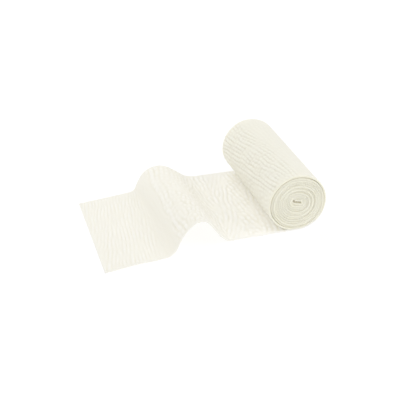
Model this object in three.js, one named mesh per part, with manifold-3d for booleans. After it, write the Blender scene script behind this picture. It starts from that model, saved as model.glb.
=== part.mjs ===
// Elastic bandage roll: one woven strip, most of it wound up, with its loose end lying in one hump.
// Millimetres, +Z up. The strip runs out along -X and the roll's axis lies along Y. The origin is on
// the resting plane, under the middle of the roll.
import * as THREE from 'three';
import { mergeVertices } from 'three/addons/utils/BufferGeometryUtils.js';
import Module from 'manifold-3d';

const WIDTH = 100;
const THICKNESS = 1.3;
const ROLL_RADIUS = 22.2;
const FLAT_SPOT = 9;
const TURN_PITCH = 1.6;
const CLOSING_FROM = 225;

// The outermost turn stands off the rest of the roll on its right and top sides.
const GAP = { width: 1.1, from: 35, to: 200 };

// The open core is a narrow slit between the innermost turns, lower at its right end.
const SLIT = { length: 8.7, height: 3, tilt: -18, right: 0.5, up: 0.8 };

const TURN_END = 337.5;
const TURN_STEP = 7.5;
const ROLL_SIDES = 72;
const ROLL_STEPS = 10;
const STRIP_COLUMNS = 11;
const STEP = 2.4;

// One row for each section across the loose end, from its cut end to the roll: where its near and its
// far edge lie, and how high the underside is there.
const SECTIONS = [
  { at: 'cut end', nearX: -143.2, nearY: -64.8, nearZ: 0.2, farX: -138.4, farY: 34.6, farZ: 0 },
  { at: 'lying flat', nearX: -119, nearY: -61.5, nearZ: 0.8, farX: -118, farY: 37.4, farZ: 0 },
  { at: 'left foot', nearX: -96.6, nearY: -58.1, nearZ: 0, farX: -98.2, farY: 40.4, farZ: 0 },
  { at: 'foot of the fall', nearX: -90.8, nearY: -57.2, nearZ: 3.6, farX: -93.6, farY: 41.4, farZ: 1.6 },
  { at: 'fall', nearX: -86.9, nearY: -56.5, nearZ: 10.4, farX: -90.2, farY: 42.3, farZ: 7.6 },
  { at: 'left of the crest', nearX: -80.8, nearY: -55.5, nearZ: 17.9, farX: -85.2, farY: 43.4, farZ: 14 },
  { at: 'crest', nearX: -73.4, nearY: -54.2, nearZ: 21.3, farX: -77.4, farY: 45, farZ: 16.4 },
  { at: 'right of the crest', nearX: -68.4, nearY: -53.4, nearZ: 20, farX: -70.2, farY: 46.4, farZ: 15 },
  { at: 'rise', nearX: -62.5, nearY: -52.3, nearZ: 13.3, farX: -62.3, farY: 47.9, farZ: 9.9 },
  { at: 'foot of the rise', nearX: -56.2, nearY: -51.3, nearZ: 4.4, farX: -52.6, farY: 49.2, farZ: 2.7 },
  { at: 'right foot', nearX: -50.2, nearY: -50.3, nearZ: 0, farX: -43.8, farY: 50.4, farZ: 0 },
  { at: 'clear of the roll', nearX: -27, nearY: -50, nearZ: 0, farX: -24, farY: 50.2, farZ: 0 },
  { at: 'under the roll', nearX: -5, nearY: -50, nearZ: 0, farX: -5, farY: 50, farZ: 0 },
];

const CLOTH = new THREE.MeshStandardMaterial({ color: 0xefece0, roughness: 0.95, metalness: 0 });

// The inner body sinks this much into the strip that lies against it, so that the two are one. Near
// the outermost turn's end the body comes out to carry the surface on.
const SUNK = 0.15;
const BODY_OUT_FROM = 325;

const AXIS_HEIGHT = Math.sqrt(ROLL_RADIUS ** 2 - (FLAT_SPOT / 2) ** 2);

const wasm = await Module();
wasm.setup();

// The outer radius of the outermost turn, at an angle in degrees from the bottom of the roll, up its
// right side and over the top. It keeps its size over the gap and then closes on to its own start.
function turnRadius(angle) {
  return ROLL_RADIUS - TURN_PITCH * THREE.MathUtils.smoothstep(angle, CLOSING_FROM, 360);
}

// How far the outermost turn stands off the turns inside it.
function turnGap(angle) {
  const share = (angle - GAP.from) / (GAP.to - GAP.from);
  return share > 0 && share < 1 ? GAP.width * Math.sin(Math.PI * share) ** 2 : 0;
}

function bodyRadius(angle) {
  const inset = angle < BODY_OUT_FROM ? THICKNESS - SUNK : SUNK;
  return turnRadius(angle) - inset - turnGap(angle);
}

function rollPoint(angle, radius, y) {
  const turn = THREE.MathUtils.degToRad(angle);
  return new THREE.Vector3(radius * Math.sin(turn), y, AXIS_HEIGHT - radius * Math.cos(turn));
}

// Joins loops of points, each with the same count, into one closed skin. The last loop meets the
// first one where the skin is a ring, and otherwise both end loops are closed like a strip's ends.
function skin(loops, ring) {
  const count = loops[0].length;
  const positions = loops.flat().flatMap((point) => point.toArray());
  const index = [];
  const last = ring ? loops.length : loops.length - 1;
  for (let i = 0; i < last; i += 1) {
    const next = (i + 1) % loops.length;
    for (let j = 0; j < count; j += 1) {
      const k = (j + 1) % count;
      const [a, b, c, d] = [i * count + j, i * count + k, next * count + k, next * count + j];
      index.push(a, b, c, a, c, d);
    }
  }
  if (!ring) {
    const end = last * count;
    for (let j = 0; j < count / 2 - 1; j += 1) {
      const [a, b, c, d] = [j, j + 1, count - 2 - j, count - 1 - j];
      index.push(a, c, b, a, d, c);
      index.push(end + a, end + b, end + c, end + a, end + c, end + d);
    }
  }
  const geometry = new THREE.BufferGeometry();
  geometry.setAttribute('position', new THREE.Float32BufferAttribute(positions, 3));
  geometry.setIndex(index);
  return geometry;
}

// One edge of the loose end, as a smooth curve through its sections.
function edgeCurve(side) {
  const points = SECTIONS.map((row) => new THREE.Vector3(row[`${side}X`], row[`${side}Y`], row[`${side}Z`]));
  return new THREE.CatmullRomCurve3(points, false, 'centripetal');
}

// The underside of all the strip that is built as cloth: along the loose end, under the roll and round
// it as its outermost turn. Each station holds its points from the near to the far edge.
function undersideStations() {
  const stations = [];
  const near = edgeCurve('near');
  const far = edgeCurve('far');
  const spans = SECTIONS.length - 1;
  for (let span = 0; span < spans; span += 1) {
    const steps = Math.ceil(near.getPoint(span / spans).distanceTo(near.getPoint((span + 1) / spans)) / STEP);
    for (let step = 0; step < steps; step += 1) {
      const t = (span + step / steps) / spans;
      stations.push([near.getPoint(t), far.getPoint(t)]);
    }
  }
  for (let angle = TURN_STEP; angle <= TURN_END; angle += TURN_STEP) {
    const radius = turnRadius(angle);
    stations.push([rollPoint(angle, radius, -WIDTH / 2), rollPoint(angle, radius, WIDTH / 2)]);
  }
  return stations.map(([start, end]) => {
    const row = [];
    for (let column = 0; column <= STRIP_COLUMNS; column += 1) {
      const point = start.clone().lerp(end, column / STRIP_COLUMNS);
      point.z = Math.max(point.z, 0);
      row.push(point);
    }
    return row;
  });
}

// The side of the strip that faces the roll's axis, or up on the loose end.
function upperSide(stations) {
  return stations.map((row, i) => row.map((point, j) => {
    const before = stations[Math.max(i - 1, 0)][j];
    const after = stations[Math.min(i + 1, stations.length - 1)][j];
    const along = after.clone().sub(before);
    const across = row[Math.min(j + 1, STRIP_COLUMNS)].clone().sub(row[Math.max(j - 1, 0)]);
    return point.clone().addScaledVector(along.cross(across).normalize(), THICKNESS);
  }));
}

function strip() {
  const lower = undersideStations();
  const upper = upperSide(lower);
  return skin(lower.map((row, i) => [...row, ...upper[i].toReversed()]), false);
}

// The turns inside the outermost one, as one body round the open core.
function woundBody() {
  const slitCentre = new THREE.Vector3(SLIT.right, 0, AXIS_HEIGHT + SLIT.up);
  const tilt = THREE.MathUtils.degToRad(SLIT.tilt);
  const loops = [];
  for (let side = 0; side < ROLL_SIDES; side += 1) {
    const angle = (360 * side) / ROLL_SIDES;
    const turn = THREE.MathUtils.degToRad(angle);
    const flat = new THREE.Vector3(Math.sin(turn) * SLIT.length / 2, 0, -Math.cos(turn) * SLIT.height / 2);
    const core = flat.applyAxisAngle(new THREE.Vector3(0, 1, 0), -tilt).add(slitCentre);
    const outside = [];
    const inside = [];
    for (let step = 0; step <= ROLL_STEPS; step += 1) {
      const y = WIDTH * (step / ROLL_STEPS - 0.5);
      const point = rollPoint(angle, bodyRadius(angle), y);
      point.z = Math.max(point.z, THICKNESS - SUNK);
      outside.push(point);
      inside.push(core.clone().setY(y));
    }
    loops.push([...outside, ...inside.toReversed()]);
  }
  return skin(loops, true);
}

function toManifold(geometry) {
  const merged = mergeVertices(geometry);
  const mesh = new wasm.Mesh({
    numProp: 3,
    vertProperties: new Float32Array(merged.attributes.position.array),
    triVerts: new Uint32Array(merged.index.array),
  });
  return new wasm.Manifold(mesh);
}

function toGeometry(solid) {
  const mesh = solid.getMesh();
  const geometry = new THREE.BufferGeometry();
  geometry.setAttribute('position', new THREE.BufferAttribute(new Float32Array(mesh.vertProperties), 3));
  geometry.setIndex(new THREE.BufferAttribute(new Uint32Array(mesh.triVerts), 1));
  geometry.computeVertexNormals();
  return geometry;
}

const bandage = new THREE.Mesh(toGeometry(toManifold(woundBody()).add(toManifold(strip()))), CLOTH);
bandage.name = 'bandage';

const group = new THREE.Group();
group.add(bandage);

export default group;
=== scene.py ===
import math
from functools import cache

import bmesh
import bpy
import numpy as np
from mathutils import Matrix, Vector


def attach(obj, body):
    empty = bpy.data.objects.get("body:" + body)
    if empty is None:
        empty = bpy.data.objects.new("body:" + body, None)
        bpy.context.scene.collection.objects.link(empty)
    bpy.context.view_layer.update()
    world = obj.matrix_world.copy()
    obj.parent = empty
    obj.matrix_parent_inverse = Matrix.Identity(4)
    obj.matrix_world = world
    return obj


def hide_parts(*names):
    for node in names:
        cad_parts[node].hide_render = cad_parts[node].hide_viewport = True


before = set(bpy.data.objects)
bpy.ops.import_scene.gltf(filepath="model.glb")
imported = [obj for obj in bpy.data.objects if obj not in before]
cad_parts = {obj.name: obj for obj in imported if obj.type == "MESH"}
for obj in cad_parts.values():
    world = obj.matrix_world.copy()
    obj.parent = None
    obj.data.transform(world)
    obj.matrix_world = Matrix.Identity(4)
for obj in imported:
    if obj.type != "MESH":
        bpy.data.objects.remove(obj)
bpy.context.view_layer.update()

MM = 0.001

# The camera stands in front of the roll's near end, a little to its left, and looks down on it. Angles in
# degrees, lens and sensor in millimetres.
CAMERA_AZIMUTH = -17.97
CAMERA_ELEVATION = 28.49
CAMERA_DISTANCE = 857.6 * MM
CAMERA_TARGET = Vector((-50.9, 14.5, 0)) * MM
CAMERA_LENS = 103.5
CAMERA_SENSOR = 36.0

# The cloth, in millimetres. Inside the roll it fills the room between the turns, less a clearance, within
# the two thicknesses given last. The ridges and the wander of the turns aren't counted in that room, so
# the turns run into each other in places.
WIDTH = 100.0
THICKNESS = 1.2
CLEARANCE = 0.05
WOUND_THINNEST = 0.8
WOUND_THICKNESS = 1.45

# The cloth's edges, in millimetres and shares. The selvedges and the cut end are thinner, down to a share
# of the cloth's thickness, which is larger in the roll. The crepe gets lower towards them, down to a
# share of its height.
EDGE_BAND = 0.5
EDGE_SHARE = 0.7
WOUND_EDGE_SHARE = 0.86
FLAT_EDGE = 4.0
FLAT_EDGE_HEIGHT = 0.25

# The room kept under the loose end and outside the roll for the ridges on that side, in millimetres.
CREPE_LIFT = 0.3

# The roll, in millimetres and degrees. Angles run from its bottom, up its right side and over its top.
# It lies on a flat spot that fades inwards. The outermost turn closes in by one pitch over its last part.
# The turns inside it grow flatter inwards, round a slit that is lower at its right end.
ROLL_RADIUS = 22.2
FLAT_SPOT = 9.0
FLAT_SPOT_FADE = 7.0
TURN_PITCH = 1.35
CLOSING_FROM = 225.0
TURNS = 13.6
CORE_LONG = 3.4
CORE_FLAT = 1.1
CORE_TILT = -18.0
CORE_OFFSET = (0.3, 1.3)

# The winding begins a little past the bottom of the roll, and is worked out in steps, in degrees.
WINDING_FROM = 4.0
WINDING_STEP = 2.0

# Between the first two angles the cloth goes over from its own thickness to filling its room, and up to
# the third one its selvedges from their share on the loose end to the one in the roll.
FILLING_FROM = 300
FILLING_BY = 400
WOUND_EDGE_BY = 60

# Where the cloth was wound loosely, in degrees and millimetres: it moves in from the turn outside it over
# part of a turn, and each turn further in follows by a smaller share.
SLACK = [
    {"from": 425, "to": 590, "in": 0.05, "follow": 0.85},
    {"from": 785, "to": 950, "in": 0.06, "follow": 0.85},
    {"from": 330, "to": 425, "in": 0.06, "follow": 0.8},
    {"from": 1190, "to": 1330, "in": 0.12, "follow": 0.8},
    {"from": 2100, "to": 2260, "in": 0.14, "follow": 0.7},
]

# How far the turns wander in and out and sideways, over a length of their field of noise, in millimetres.
# Both grow from nothing at the start of the outermost turn up to the angle given. The sideways wander
# follows one line of the field.
WANDER = {"length": 60, "in and out": 0.18, "sideways": 0.5, "grown by": 300, "line": 40.0}

# One row for each section across the loose end, from its cut end to the roll, in millimetres: where its
# near and its far edge lie, and how high the underside is there.
SECTIONS = [
    {"at": "cut end", "near": (-143.2, -64.8, 0.2), "far": (-138.4, 34.6, 0)},
    {"at": "lying flat", "near": (-119, -61.5, 0.8), "far": (-118, 37.4, 0)},
    {"at": "left foot", "near": (-96.6, -58.1, 0), "far": (-98.2, 40.4, 0)},
    {"at": "foot of the fall", "near": (-90.8, -57.2, 3.6), "far": (-93.6, 41.4, 1.6)},
    {"at": "fall", "near": (-86.9, -56.5, 10.4), "far": (-90.2, 42.3, 7.6)},
    {"at": "left of the crest", "near": (-80.8, -55.5, 17.9), "far": (-85.2, 43.4, 14)},
    {"at": "crest", "near": (-73.4, -54.2, 21.3), "far": (-77.4, 45, 16.4)},
    {"at": "right of the crest", "near": (-68.4, -53.4, 20), "far": (-70.2, 46.4, 15)},
    {"at": "rise", "near": (-62.5, -52.3, 13.3), "far": (-62.3, 47.9, 9.9)},
    {"at": "foot of the rise", "near": (-56.2, -51.3, 4.4), "far": (-52.6, 49.2, 2.7)},
    {"at": "right foot", "near": (-50.2, -50.3, 0), "far": (-43.8, 50.4, 0)},
    {"at": "clear of the roll", "near": (-27, -50, 0), "far": (-24, 50.2, 0)},
    {"at": "under the roll", "near": (-5, -50, 0), "far": (-5, 50, 0)},
]

# The crepe's ridges along the strip, from the cut end inwards, in millimetres and degrees: up to what
# distance each kind reaches, how far apart its ridges are, how far they lean, how much their direction
# varies, how long the beads are that they break up into, how deep the breaks are as a share, and how high
# they are. Below 0 the height is that of ridges on the other side, which is the outer one on the roll.
CREPE_COLUMNS = ("name", "until", "pitch", "lean", "spread", "bead", "break", "height")
CREPE = [dict(zip(CREPE_COLUMNS, row)) for row in [
    ("even", 44, 2.7, 12, 6, 18, 0.25, 0.28),
    ("smooth", 61, 4, 0, 20, 9, 0.3, 0.05),
    ("wavy", 73, 3.6, 6, 12, 6, 0.5, 0.38),
    ("turning", 100, 3.6, 18, 24, 5, 0.6, 0.36),
    ("mixed", 114, 3.5, 2, 16, 8, 0.4, 0.4),
    ("long", 128, 3.4, 18, 11, 12, 0.35, 0.3),
    ("back", 139, 3.7, -6, 18, 6, 0.6, 0.46),
    ("leaning", 165, 3.6, 20, 18, 6, 0.6, 0.44),
    ("crinkled", 193, 3.2, 8, 10, 5, 0.6, -0.45),
    ("pressed", 228, 3.2, 8, 9, 5, 0.6, -0.13),
    ("beaded", 254, 2.9, 10, 7, 3.9, 0.5, -0.85),
    ("slanted", 320, 3.6, 22, 18, 6, 0.5, -0.3),
    ("wound", 2000, 3, 8, 9, 6, 0.7, -0.05),
]]

# Each kind fades into the next over a distance to both sides of a line that slants a little across the
# strip, in millimetres and as a slope. The tallest height counts as full relief for the painted shade of
# the grooves.
CREPE_BLEND = 3.5
CREPE_SLANT = 0.1
TALLEST = 0.5

# The shape of the ridges: how much their pitch varies, as a share, and a power that makes the grooves
# narrower than the ridges where it is over 1.
PITCH_SPREAD = 0.2
GROOVE_POWER = 1.2

# How unevenly the ridges break into beads: how far the breaks wander and are offset, as shares of a bead,
# over what length they wander, in millimetres, and how many offsets are drawn for the ridges to take in
# turn.
BEADS = {"wander": 0.3, "length": 12, "offset": 0.2, "count": 997}

# The leans that fields of ridges are made for, in degrees. A lean between two of them mixes both.
LEANS = np.arange(-70, 71, 10)

# Where the ridges turn away from their lean: the place along and across the strip, how far the turn
# reaches and how far it goes, in millimetres and degrees, and the share of their height that is left
# there.
EDDIES = [
    {"at": (111, 46), "reach": 14, "turn": -26, "height": 1},
    {"at": (76, 78), "reach": 20, "turn": 6, "height": 0.5},
    {"at": (60, 25), "reach": 10, "turn": -8, "height": 1},
    {"at": (126, 92), "reach": 9, "turn": 0, "height": 0.4},
    {"at": (142, 20), "reach": 12, "turn": -12, "height": 1},
]

# The ridges sway everywhere, by up to this many degrees, over a length in millimetres.
SWAY = {"by": 6.0, "length": 34}

# The ridge that the hump's fold has pressed up along its left shoulder: its place along the strip at the
# near edge, its lean, and how wide and how high it is.
SHOULDER = {"from": 59.5, "lean": 6, "width": 1.0, "height": 0.3}

# How unevenly the cloth shrank: the size of its patches, in millimetres, and the greatest share by which
# they change the relief.
PATCH = {"size": 7, "by": 0.7}

# The seed of each kind of noise. Ridges and beads count on from theirs, one for each kind of crepe.
SEEDS = {"winding": 5, "patches": 7, "sway": 11, "ridges": 20, "beads": 40}

# How far apart the threads lie that show as fine beads on the crepe, in millimetres: those across the
# cloth (X) and those along it (Y). Real ones lie about 0.7 apart, too fine to show.
THREADS = {"X": 1.1, "Y": 1.3}

# The fields of noise that lie over the cloth, in millimetres.
FIELD_STEP = 0.4
FIELD_LENGTH = 384.0
FIELD_WIDTH = 128.0

# The mesh of the strip, in millimetres: the cloth that shows is fine, and the turns inside it are coarse.
# The seam is the room between the two.
FINE_LENGTH = 312.0
FINE_STEP = 0.65
FINE_COLUMNS = 84
SEAM = 2.0
INNER_TURN_STEPS = 60
INNER_COLUMNS = 6

# The table, in metres: half its side, and the height of the wall round it.
TABLE_HALF = 2.5
WALL_HEIGHT = 0.35

# The lights, in metres and watts. All of them face the camera's target.
LIGHTS = [
    {"name": "right", "place": (0.8, -0.6, 0.8), "size": 0.8, "power": 6.6},
    {"name": "front", "place": (-0.2, -1.1, 0.7), "size": 0.8, "power": 1.6},
    {"name": "back", "place": (-0.4, 0.9, 0.9), "size": 0.8, "power": 5.6},
    {"name": "left", "place": (-0.8, 0.6, 0.8), "size": 0.8, "power": 3.4},
    {"name": "overhead", "place": (-0.1, -0.1, 1.2), "size": 0.5, "power": 1.5},
]


def linear(hex_colour):
    """An sRGB hex colour as the linear RGBA that the shaders take."""
    parts = [int(hex_colour[i:i + 2], 16) / 255 for i in (1, 3, 5)]
    return [c / 12.92 if c <= 0.04045 else ((c + 0.055) / 1.055) ** 2.4 for c in parts] + [1.0]


def node(tree, kind, settings=None, inputs=None):
    """Adds one node with its settings, its values and its links."""
    made = tree.nodes.new(kind)
    for name, value in (settings or {}).items():
        setattr(made, name, value)
    for name, value in (inputs or {}).items():
        if isinstance(value, bpy.types.NodeSocket):
            tree.links.new(value, made.inputs[name])
        else:
            made.inputs[name].default_value = value
    return made


def smoothstep(value, low, high):
    """From 0 at the low value to 1 at the high one, level at both."""
    t = np.clip((value - low) / (high - low), 0, 1)
    return t * t * (3 - 2 * t)


def make_camera():
    """The camera, set back from its target and facing it."""
    azimuth, elevation = math.radians(CAMERA_AZIMUTH), math.radians(CAMERA_ELEVATION)
    back = Vector((
        math.sin(azimuth) * math.cos(elevation),
        -math.cos(azimuth) * math.cos(elevation),
        math.sin(elevation),
    ))
    data = bpy.data.cameras.new("camera")
    data.lens = CAMERA_LENS
    data.sensor_width = CAMERA_SENSOR
    camera = bpy.data.objects.new("camera", data)
    camera.location = CAMERA_TARGET + back * CAMERA_DISTANCE
    camera.rotation_euler = (-back).to_track_quat("-Z", "Y").to_euler()
    bpy.context.scene.collection.objects.link(camera)
    bpy.context.scene.camera = camera


def edge_curve(side, steps=24):
    """One edge of the loose end's underside: a smooth curve through its sections, spaced by the chords."""
    points = np.array([row[side] for row in SECTIONS], float)
    points = np.vstack([2 * points[0] - points[1], points, 2 * points[-1] - points[-2]])
    spacing = np.sqrt(np.linalg.norm(np.diff(points, axis=0), axis=1))
    curve = []
    for i in range(1, len(points) - 2):
        before, start, end, after = points[i - 1:i + 3]
        a, b, c = spacing[i - 1:i + 2]
        leave = b * ((start - before) / a - (end - before) / (a + b) + (end - start) / b)
        arrive = b * ((end - start) / b - (after - start) / (b + c) + (after - end) / c)
        t = np.arange(steps)[:, None] / steps
        curve.append(
            start * (2 * t**3 - 3 * t**2 + 1) + leave * (t**3 - 2 * t**2 + t)
            + end * (3 * t**2 - 2 * t**3) + arrive * (t**3 - t**2)
        )
    curve = np.vstack([*curve, points[-2]])
    curve[:, 2] = np.maximum(curve[:, 2], 0)
    return curve


def raised(curve, height):
    """The curve moved out by a height, square to its own run in the XZ plane."""
    run = np.gradient(curve, axis=0)
    out = np.stack([-run[:, 2], np.zeros(len(run)), run[:, 0]], axis=1)
    return curve + out / np.linalg.norm(out, axis=1, keepdims=True) * height


def slack(angle):
    """How far the cloth lies inside its even spiral at an angle of the winding."""
    total = np.zeros_like(angle)
    for row in SLACK:
        for turn in range(math.ceil(TURNS)):
            place = (angle - row["from"] - 360 * turn) / (row["to"] - row["from"])
            bump = np.where((place > 0) & (place < 1), np.sin(np.pi * place) ** 2, 0)
            total += row["in"] * row["follow"] ** turn * bump
    return total


def winding(angle):
    """X and Z of the middle of the cloth at angles of the winding, for the whole spiral."""
    centre_height = math.sqrt(ROLL_RADIUS ** 2 - (FLAT_SPOT / 2) ** 2)
    outside = ROLL_RADIUS - THICKNESS / 2 - CREPE_LIFT
    depth = np.maximum(angle - 360, 0) / (360 * (TURNS - 1))
    radius = outside - TURN_PITCH * smoothstep(angle, CLOSING_FROM, 360)
    half_long = radius + (CORE_LONG - radius) * depth - slack(angle)
    half_flat = radius + (CORE_FLAT - radius) * depth - slack(angle)
    tilt = math.radians(CORE_TILT)
    turn = np.radians(angle) - tilt
    along, off = half_long * np.sin(turn), -half_flat * np.cos(turn)
    x = along * math.cos(tilt) - off * math.sin(tilt) + CORE_OFFSET[0] * depth
    z = along * math.sin(tilt) + off * math.cos(tilt) + CORE_OFFSET[1] * depth + centre_height
    below = THICKNESS / 2 + CREPE_LIFT - centre_height + np.sqrt(np.maximum(outside ** 2 - x ** 2, 0))
    fade = np.exp((half_flat - outside) / FLAT_SPOT_FADE)
    flattened = np.maximum(below, 0) * fade * (np.cos(turn) > 0)
    return x, z + flattened


def room(angle):
    """The room for the cloth between the turns next to it, in millimetres."""
    last = 360 * TURNS
    here = np.stack(winding(angle))
    inwards = np.stack(winding(angle + 360))
    outwards = np.stack(winding(np.maximum(angle - 360, 0)))
    inside = np.where(angle + 360 < last, np.linalg.norm(inwards - here, axis=0), WOUND_THICKNESS)
    outside = np.where(angle > 360, np.linalg.norm(outwards - here, axis=0), WOUND_THICKNESS)
    return np.minimum(inside, outside)


@cache
def rails():
    """The near and far edges of the strip's middle surface from the cut end to the innermost turn, the
    distance along the cloth, and the angle of the winding, which is below 0 on the loose end."""
    lift = THICKNESS / 2 + CREPE_LIFT
    near = raised(edge_curve("near"), lift)
    far = raised(edge_curve("far"), lift)
    angle = np.arange(WINDING_FROM, 360 * TURNS, WINDING_STEP)
    x, z = winding(angle)
    side = np.full_like(x, WIDTH / 2)
    turns_near, turns_far = np.stack([x, -side, z], axis=1), np.stack([x, side, z], axis=1)
    near, far = np.vstack([near, turns_near]), np.vstack([far, turns_far])
    middle = (near + far) / 2
    steps = np.linalg.norm(np.diff(middle, axis=0), axis=1)
    distance = np.concatenate([[0], np.cumsum(steps)])
    loose = np.linspace(-1, 0, len(near) - len(angle), endpoint=False)
    return near, far, distance, np.concatenate([loose, angle])


def filtered_noise(seed, kept):
    """A field of noise over the cloth, which repeats at its edges. What is kept of each wave depends on
    how many of it lie in a millimetre along and across."""
    shape = (int(FIELD_LENGTH / FIELD_STEP), int(FIELD_WIDTH / FIELD_STEP))
    noise = np.random.default_rng(seed).standard_normal(shape)
    wave_s = np.fft.fftfreq(shape[0], FIELD_STEP)[:, None]
    wave_v = np.fft.fftfreq(shape[1], FIELD_STEP)[None, :]
    field = np.fft.ifft2(np.fft.fft2(noise) * kept(wave_s, wave_v)).real
    return field / field.std()


@cache
def ridge_field(pitch, lean, spread, seed):
    """Ridges of one pitch and lean, with the forks and ends that shrunk threads give them."""
    def kept(wave_s, wave_v):
        size = np.hypot(wave_s, wave_v)
        direction = np.degrees(np.arctan2(wave_v, wave_s)) + lean
        direction = (direction + 90) % 180 - 90
        return np.exp(-((size * pitch - 1) / PITCH_SPREAD) ** 2) * np.exp(-(direction / spread) ** 2)
    return filtered_noise(seed, kept)


@cache
def wander_field(length, seed):
    """Slow wandering over the cloth from -1 to 1, with few waves shorter than a length in millimetres."""
    def kept(wave_s, wave_v):
        return np.exp(-(np.hypot(wave_s, wave_v) * length) ** 2)
    return np.clip(filtered_noise(seed, kept) / 2, -1, 1)


def sample(field, s, v):
    """The field's value at places on the cloth in millimetres, between its own points."""
    a, b = (s / FIELD_STEP) % field.shape[0], (v / FIELD_STEP) % field.shape[1]
    i, j = np.floor(a).astype(int), np.floor(b).astype(int)
    a, b = a - i, b - j
    i, j = i % field.shape[0], j % field.shape[1]
    k, m = (i + 1) % field.shape[0], (j + 1) % field.shape[1]
    return (
        field[i, j] * (1 - a) * (1 - b) + field[k, j] * a * (1 - b)
        + field[i, m] * (1 - a) * b + field[k, m] * a * b
    )


def breaks(s, v, row, seed):
    """Where the ridges of one kind break: from 0 at a break to 1 on a bead. Each ridge's beads lie beside
    its neighbours' breaks."""
    ridge = np.round((s - math.tan(math.radians(row["lean"])) * v) / row["pitch"])
    offsets = np.random.default_rng(seed).uniform(-BEADS["offset"], BEADS["offset"], BEADS["count"])
    offset = offsets[ridge.astype(int) % BEADS["count"]]
    shifted = v + BEADS["wander"] * row["bead"] * sample(wander_field(BEADS["length"], seed), s, v)
    return 0.5 + 0.5 * np.cos(2 * np.pi * (shifted / row["bead"] + ridge / 2 + offset))


def ridges_of(row, number, turned, here, s, v):
    """The ridges of one kind of crepe where it lies, from -1 in the grooves to 1, turned from its lean by
    some degrees, and broken into beads."""
    leaning = np.clip((row["lean"] + turned - LEANS[0]) / (LEANS[1] - LEANS[0]), 0, len(LEANS) - 1)
    ridges = np.zeros_like(s)
    for step, lean in enumerate(LEANS):
        near = here & (np.abs(leaning - step) < 1)
        field = ridge_field(row["pitch"], lean, row["spread"], seed=SEEDS["ridges"] + number)
        ridges[near] += (1 - np.abs(leaning[near] - step)) * sample(field, s[near], v[near])
    ridges = 1 - 2 * ((1 - np.tanh(ridges)) / 2) ** GROOVE_POWER
    on_bead = breaks(s, v, row, seed=SEEDS["beads"] + number)
    return (ridges + 1) * (1 - row["break"] * (1 - on_bead)) - 1


def crepe(s, v):
    """The crepe over the cloth: how deep the grooves and how high the ridges show, which sets the painted
    shade of the grooves, where the tallest height counts as 1, and the height over the cloth's middle
    surface, in millimetres."""
    turned = SWAY["by"] * sample(wander_field(SWAY["length"], seed=SEEDS["sway"]), s, v)
    place = s - CREPE_SLANT * (v - WIDTH / 2)
    left = np.ones_like(s)
    for row in EDDIES:
        away = np.hypot(s - row["at"][0], v - row["at"][1])
        turned += row["turn"] * np.exp(-(away / row["reach"]) ** 2)
        left *= 1 - (1 - row["height"]) * np.exp(-(away / row["reach"]) ** 2)
    shape, height = np.zeros_like(s), np.zeros_like(s)
    start = -1000  # well before the cut end, so that the first kind has nothing to fade in from
    for number, row in enumerate(CREPE):
        share = smoothstep(place, start - CREPE_BLEND, start + CREPE_BLEND)
        share = share * (1 - smoothstep(place, row["until"] - CREPE_BLEND, row["until"] + CREPE_BLEND))
        start = row["until"]
        ridges = ridges_of(row, number, turned, share > 0, s, v)
        shape += share * ridges * abs(row["height"]) / TALLEST
        height += share * ridges * row["height"]
    shape, height = shape * left, height * left
    fold = s - SHOULDER["from"] - math.tan(math.radians(SHOULDER["lean"])) * v
    fold = np.exp(-(fold / SHOULDER["width"]) ** 2)
    shape += fold * SHOULDER["height"] / TALLEST
    height += fold * SHOULDER["height"]
    patches = 1 + PATCH["by"] * sample(wander_field(PATCH["size"], seed=SEEDS["patches"]), s, v)
    from_edge = smoothstep(np.minimum(np.minimum(v, WIDTH - v), s), 0, FLAT_EDGE)
    edging = FLAT_EDGE_HEIGHT + (1 - FLAT_EDGE_HEIGHT) * from_edge
    return shape * patches * edging, height * patches * edging


def flat_strip():
    """The cloth laid out flat, in metres: X along it from the cut end, Y across it from the near edge. Its
    fine part and the coarse part of the inner turns are two grids whose facing ends are bridged."""
    _, _, distance, angle = rails()
    inner = np.arange(np.interp(FINE_LENGTH + SEAM, distance, angle), angle[-1], 360 / INNER_TURN_STEPS)
    inner = np.interp(inner, angle, distance)
    outer = np.linspace(0, FINE_LENGTH, int(FINE_LENGTH / FINE_STEP) + 1)
    bm = bmesh.new()
    ends = []
    close = 0.01 * MM
    for stops, columns in ((outer, FINE_COLUMNS), (inner, INNER_COLUMNS)):
        steps = len(stops) - 1
        made = bmesh.ops.create_grid(bm, x_segments=steps, y_segments=columns, size=0.5)["verts"]
        for vert in made:
            row, column = round((vert.co.x + 0.5) * steps), round((vert.co.y + 0.5) * columns)
            across = EDGE_BAND + (WIDTH - 2 * EDGE_BAND) * (column - 1) / (columns - 2)
            vert.co = Vector((stops[row], min(max(across, 0), WIDTH), 0)) * MM
        facing = (stops[-1] if stops is outer else stops[0]) * MM
        ends += [e for e in bm.edges if all(abs(vert.co.x - facing) < close for vert in e.verts)]
    bmesh.ops.bridge_loops(bm, edges=ends)
    bmesh.ops.recalc_face_normals(bm, faces=bm.faces)
    if sum(face.normal.z for face in bm.faces) < 0:
        bmesh.ops.reverse_faces(bm, faces=bm.faces)
    return bm


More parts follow.
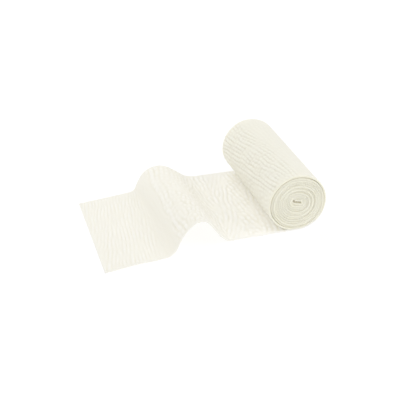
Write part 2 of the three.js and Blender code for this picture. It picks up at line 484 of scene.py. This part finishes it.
def lay(s, v):
    """Places on the cloth, in millimetres along and across it, to points of the strip as it lies."""
    near, far, distance, angle = rails()
    share = (v / WIDTH)[:, None]
    ends = []
    for rail in (near, far):
        ends.append(np.stack([np.interp(s, distance, rail[:, k]) for k in range(3)], axis=1))
    points = ends[0] * (1 - share) + ends[1] * share
    turn = np.interp(s, distance, angle)
    wound = smoothstep(turn, 0, WANDER["grown by"])
    drift = wander_field(WANDER["length"], seed=SEEDS["winding"])
    radial = np.stack([np.sin(np.radians(turn)), np.zeros_like(turn), -np.cos(np.radians(turn))], axis=1)
    # A turn takes in the field's whole length and lies 6 mm further across it than the one before, so that
    # it wanders in and out much as that one does. Sideways, a turn takes in 60 mm.
    uneven = WANDER["in and out"] * sample(drift, turn / 360 * FIELD_LENGTH, v + turn / 60)
    points += radial * (uneven * wound)[:, None]
    line = np.full_like(turn, WANDER["line"])
    points[:, 1] += WANDER["sideways"] * wound * sample(drift, turn / 6, line)
    return points


def surface_normals(s, v):
    """Up from the loose end, which is towards the axis on the roll, by small steps over the laid cloth."""
    step = 0.4
    along = lay(s + step, v) - lay(np.maximum(s - step, 0), v)
    across = lay(s, np.minimum(v + step, WIDTH)) - lay(s, np.maximum(v - step, 0))
    normal = np.cross(along, across)
    return normal / np.linalg.norm(normal, axis=1, keepdims=True)


def thickness_share(s, v):
    """The cloth's thickness at places on it, as a share of its greatest. Its edges are thinner."""
    _, _, distance, angle = rails()
    turn = np.interp(s, distance, angle)
    inner = smoothstep(turn, FILLING_FROM, FILLING_BY)
    filled = np.clip(room(turn) - CLEARANCE, WOUND_THINNEST, WOUND_THICKNESS)
    body = THICKNESS * (1 - inner) + filled * inner
    edge = (v < EDGE_BAND / 2) | (v > WIDTH - EDGE_BAND / 2) | (s < EDGE_BAND / 2)
    edge_share = EDGE_SHARE + (WOUND_EDGE_SHARE - EDGE_SHARE) * smoothstep(turn, 0, WOUND_EDGE_BY)
    return body / WOUND_THICKNESS * np.where(edge, edge_share, 1)


def make_strip():
    """The whole strip as one piece: laid out flat, marked with its UVs, then laid, raised into its crepe
    and given its thickness."""
    bm = flat_strip()
    uv = bm.loops.layers.uv.new("cloth")
    for face in bm.faces:
        for loop in face.loops:
            loop[uv].uv = loop.vert.co.xy
    bm.verts.ensure_lookup_table()
    s = np.array([vert.co.x for vert in bm.verts]) / MM
    v = np.array([vert.co.y for vert in bm.verts]) / MM
    shape, height = crepe(s, v)
    points = lay(s, v) + surface_normals(s, v) * height[:, None]
    points[:, 2] = np.maximum(points[:, 2], THICKNESS / 2)
    for vert, point in zip(bm.verts, points * MM):
        vert.co = point
    mesh = bpy.data.meshes.new("crepe_strip")
    bm.to_mesh(mesh)
    bm.free()
    mesh.shade_smooth()
    # The relief carries the painted shade of the grooves into the cloth's colour.
    relief = mesh.attributes.new("relief", "FLOAT", "POINT")
    relief.data.foreach_set("value", shape.astype(np.float32))
    strip = bpy.data.objects.new("crepe_strip", mesh)
    bpy.context.scene.collection.objects.link(strip)
    group = strip.vertex_groups.new(name="thickness")
    for index, weight in enumerate(thickness_share(s, v).tolist()):
        group.add([index], weight, "REPLACE")
    shell = strip.modifiers.new("thickness", "SOLIDIFY")
    shell.thickness = WOUND_THICKNESS * MM
    shell.offset = 0
    shell.vertex_group = group.name
    return strip


def crepe_cloth():
    """Cotton and elastane crepe, woven and shrunk: matt and soft, light passes a little way through it,
    its grooves painted a deeper cream as painted shade. Where it lies wound on more of itself it is
    painted warmer, a painted tint for the light that passes between its layers. Towards the roll the loose
    end is painted a little lighter, a painted light that makes up for the roll's shade on it. The roll's
    end face is painted a darker olive cream, as painted shade."""
    material = bpy.data.materials.new("cotton_crepe")
    material.use_nodes = True
    tree = material.node_tree
    tree.nodes.clear()
    cloth = node(tree, "ShaderNodeUVMap", {"uv_map": "cloth"})
    place = node(tree, "ShaderNodeSeparateXYZ", {}, {"Vector": cloth.outputs["UV"]})
    relief = node(tree, "ShaderNodeAttribute", {"attribute_name": "relief"})
    # The grooves are painted a deeper cream than the ridges: painted shade, set by the relief.
    ridge = node(tree, "ShaderNodeMapRange", {}, {
        "Value": relief.outputs["Fac"], "From Min": -1.0, "From Max": 0.5,
    })
    # Where the cloth is wound its colours are painted warmer: a painted tint for the light that passes
    # between its layers.
    wound = node(tree, "ShaderNodeMapRange", {}, {
        "Value": place.outputs["X"], "From Min": 166 * MM, "From Max": 184 * MM,
    })
    # Painted light: towards the roll the loose end's colours are painted lighter, to fill the roll's shade
    # on it.
    painted_fill_light = node(tree, "ShaderNodeMapRange", {}, {
        "Value": place.outputs["X"], "From Min": 95 * MM, "From Max": 155 * MM,
    })
    # A Mix node of colours has its factor at 0, its two colours at 6 and 7, and its result at 2.
    loose_groove_shade = node(tree, "ShaderNodeMix", {"data_type": "RGBA"}, {
        0: painted_fill_light.outputs["Result"], 6: linear("#e0dac4"), 7: linear("#ebe7d8"),
    })
    loose_ridge = node(tree, "ShaderNodeMix", {"data_type": "RGBA"}, {
        0: painted_fill_light.outputs["Result"], 6: linear("#f2eee0"), 7: linear("#fdfbf4"),
    })
    groove_shade_colour = node(tree, "ShaderNodeMix", {"data_type": "RGBA"}, {
        0: wound.outputs["Result"], 6: loose_groove_shade.outputs[2], 7: linear("#e9dfc2"),
    })
    ridge_colour = node(tree, "ShaderNodeMix", {"data_type": "RGBA"}, {
        0: wound.outputs["Result"], 6: loose_ridge.outputs[2], 7: linear("#fbf5db"),
    })
    colour = node(tree, "ShaderNodeMix", {"data_type": "RGBA"}, {
        0: ridge.outputs["Result"], 6: groove_shade_colour.outputs[2], 7: ridge_colour.outputs[2],
    })
    off_middle = node(tree, "ShaderNodeMath", {"operation": "SUBTRACT"}, {
        0: place.outputs["Y"], 1: WIDTH / 2 * MM,
    })
    from_middle = node(tree, "ShaderNodeMath", {"operation": "ABSOLUTE"}, {0: off_middle.outputs[0]})
    selvedge = node(tree, "ShaderNodeMapRange", {}, {
        "Value": from_middle.outputs[0],
        "From Min": (WIDTH / 2 - EDGE_BAND) * MM,
        "From Max": WIDTH / 2 * MM,
    })
    # The roll's end face, where the wound selvedges lie, is painted a darker olive cream: painted shade.
    end_face_shade_mask = node(tree, "ShaderNodeMath", {"operation": "MULTIPLY"}, {
        0: selvedge.outputs["Result"], 1: wound.outputs["Result"],
    })
    end_face_shaded_colour = node(tree, "ShaderNodeMix", {"data_type": "RGBA"}, {
        0: end_face_shade_mask.outputs[0], 6: colour.outputs[2], 7: linear("#e8e3c3"),
    })
    # The weave's scale follows from a wave texture having one band in each pi / 10 of its scaled length.
    threads = [
        node(tree, "ShaderNodeTexWave", {"bands_direction": direction}, {
            "Vector": cloth.outputs["UV"], "Scale": math.pi / (10 * THREADS[direction] * MM),
            "Distortion": 0.6, "Detail": 1.0, "Detail Scale": 2.0,
        })
        for direction in THREADS
    ]
    weave = node(tree, "ShaderNodeMath", {"operation": "MULTIPLY"}, {
        0: threads[0].outputs["Fac"], 1: threads[1].outputs["Fac"],
    })
    bump = node(tree, "ShaderNodeBump", {}, {
        "Height": weave.outputs[0], "Strength": 0.5, "Distance": 0.12 * MM,
    })
    surface = node(tree, "ShaderNodeBsdfPrincipled", {}, {
        "Base Color": end_face_shaded_colour.outputs[2],
        "Normal": bump.outputs["Normal"],
        "Roughness": 0.92,
        "Specular IOR Level": 0.1,
        "Subsurface Weight": 0.8,
        "Subsurface Radius": (1.0, 1.0, 1.0),
        "Subsurface Scale": 2.5 * MM,
    })
    node(tree, "ShaderNodeOutputMaterial", {}, {"Surface": surface.outputs["BSDF"]})
    return material


def make_stage():
    """A white table that glows like a light box, with a low wall of the same round it."""
    bm = bmesh.new()
    bmesh.ops.create_grid(bm, x_segments=1, y_segments=1, size=TABLE_HALF)
    wall = bmesh.ops.extrude_edge_only(bm, edges=bm.edges[:])["geom"]
    wall_top = [part for part in wall if isinstance(part, bmesh.types.BMVert)]
    bmesh.ops.translate(bm, verts=wall_top, vec=(0, 0, WALL_HEIGHT))
    mesh = bpy.data.meshes.new("table")
    bm.to_mesh(mesh)
    bm.free()
    table = bpy.data.objects.new("table", mesh)
    bpy.context.scene.collection.objects.link(table)
    material = bpy.data.materials.new("white_table")
    material.use_nodes = True
    tree = material.node_tree
    tree.nodes.clear()
    surface = node(tree, "ShaderNodeBsdfPrincipled", {}, {
        "Base Color": linear("#a8a8a8"),
        "Roughness": 0.9,
        "Specular IOR Level": 0.1,
        "Emission Color": linear("#ffffff"),
        "Emission Strength": 0.72,
    })
    node(tree, "ShaderNodeOutputMaterial", {}, {"Surface": surface.outputs["BSDF"]})
    mesh.materials.append(material)


def make_light(name, place, size, power):
    """One square soft light that faces the camera's target."""
    data = bpy.data.lights.new(name, "AREA")
    data.shape = "SQUARE"
    data.size = size
    data.energy = power
    light = bpy.data.objects.new(name, data)
    light.location = place
    light.rotation_euler = (CAMERA_TARGET - Vector(place)).to_track_quat("-Z", "Y").to_euler()
    bpy.context.scene.collection.objects.link(light)


def light_scene():
    """Soft light from all round, and a view that lifts the middle tones."""
    world = bpy.data.worlds.new("studio")
    world.use_nodes = True
    world.node_tree.nodes["Background"].inputs["Color"].default_value = linear("#ffffff")
    world.node_tree.nodes["Background"].inputs["Strength"].default_value = 0.25
    bpy.context.scene.world = world
    for light in LIGHTS:
        make_light(**light)
    view = bpy.context.scene.view_settings
    view.view_transform = "Standard"
    view.gamma = 1.8


make_camera()
strip = make_strip()
strip.data.materials.append(crepe_cloth())
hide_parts("bandage")
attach(strip, "root")
cloth_length = rails()[2][-1] * MM
make_stage()
light_scene()
